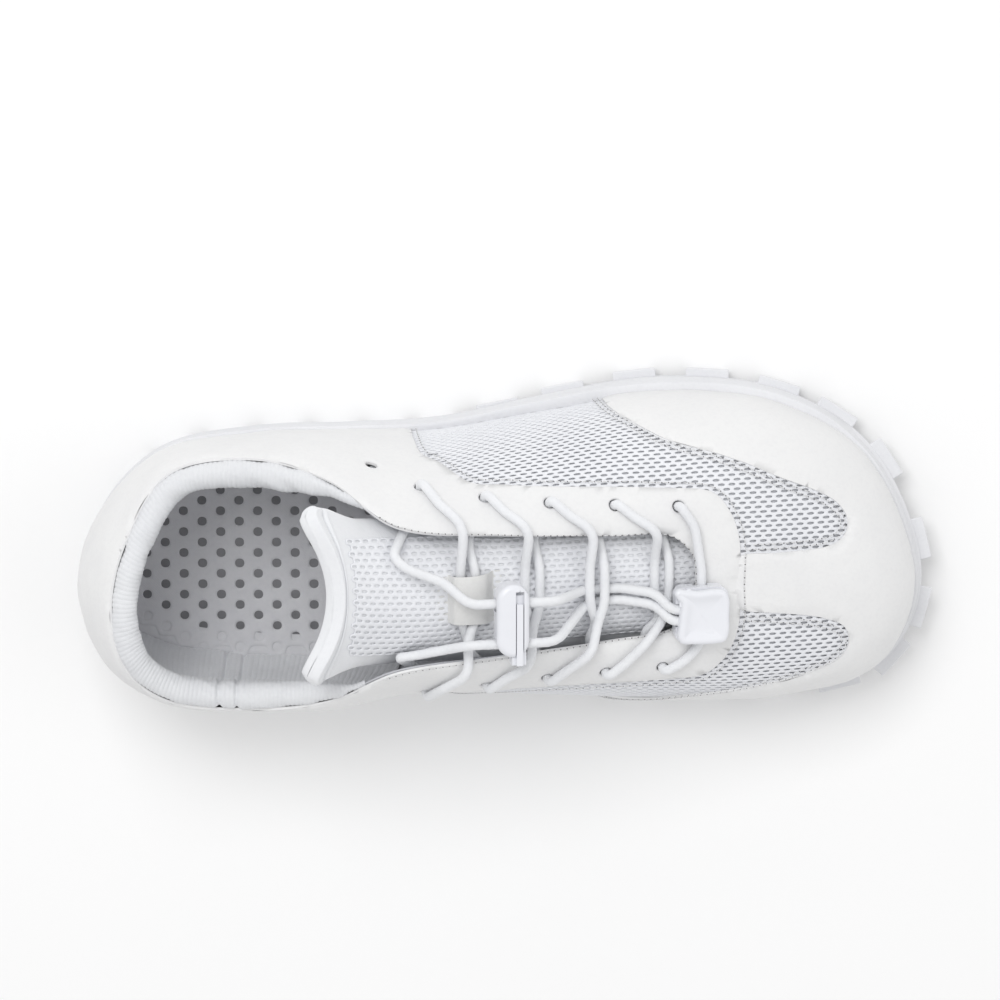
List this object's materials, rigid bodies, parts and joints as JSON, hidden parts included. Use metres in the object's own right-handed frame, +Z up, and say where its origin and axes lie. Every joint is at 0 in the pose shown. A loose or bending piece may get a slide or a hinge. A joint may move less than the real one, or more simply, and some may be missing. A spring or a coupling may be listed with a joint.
{
  "type": "cheer shoe",
  "caption": "Left low-top trail-soled sports shoe with wide toe box, mesh and leather-look upper, padded collar and elastic quick-lacing with a cord lock.",
  "frame": {"origin": "bottom centre of the shoe's box: midway along the length and the width, on the ground", "axes": "+X from heel to toe, +Y toward the outer side of the foot, +Z up"},
  "size_m": [0.2708, 0.1078, 0.097],
  "materials": {
    "leather": "satin",
    "sandwich_mesh": "matte",
    "lining": "matte",
    "ribbed_lining": "matte",
    "tongue_trim": "matte",
    "foam": "matte",
    "board": "matte",
    "stiffener": "matte",
    "rubber": "matte",
    "insole_fabric": "matte",
    "tape": "matte",
    "elastic_cord": "matte",
    "white_plastic": "gloss",
    "spring_steel": "polished"
  },
  "bodies": {
    "shoe": {"outsole": "rubber", "strobel_board": "board", "insole": "insole_fabric", "vamp_mesh": "sandwich_mesh", "vamp_lining": "lining", "toe_puff": "stiffener", "toe_cap": "leather", "quarter_and_eyestay": "leather", "eyestay_facing": "lining", "heel_counter": "stiffener", "collar_foam": "foam", "collar_lining": "ribbed_lining", "tongue_cover": "sandwich_mesh", "tongue_foam": "foam", "tongue_lining": "lining", "lace_keeper": "tape", "lace": "elastic_cord", "cord_end_base": "white_plastic"},
    "tongue_top": {"tongue_top_cover": "sandwich_mesh", "tongue_top_foam": "foam", "tongue_top_lining": "lining", "tongue_binding": "tongue_trim"},
    "cord_lock": {"cord_lock_body": "white_plastic", "cord_lock_spring": "spring_steel"},
    "lock_button": {"cord_lock_plunger": "white_plastic"},
    "clip_cover": {"cord_end_cover": "white_plastic"}
  },
  "joints": [
    {"name": "tongue_top_fold", "type": "hinge", "parent": "shoe", "child": "tongue_top", "pos_m": [-0.04068, -0.00323, 0.0805], "axis": [0, 1, 0], "range_deg": [-8, 14], "stiffness_Nm_per_rad": 0.12},
    {"name": "cord_lock_slide", "type": "slide", "parent": "shoe", "child": "cord_lock", "axis": [0.9848, 0, -0.1736], "range_m": [-0.004, 0.005]},
    {"name": "lock_button_press", "type": "slide", "parent": "cord_lock", "child": "lock_button", "axis": [0, 1, 0], "range_m": [0, 0.002], "stiffness_N_per_m": 400, "springref_m": -0.001, "deforming": ["cord_lock_spring"]},
    {"name": "clip_cover_hinge", "type": "hinge", "parent": "shoe", "child": "clip_cover", "pos_m": [0.06767, -0.01313, 0.06131], "axis": [0, 1, 0], "range_deg": [0, 100]}
  ]
}
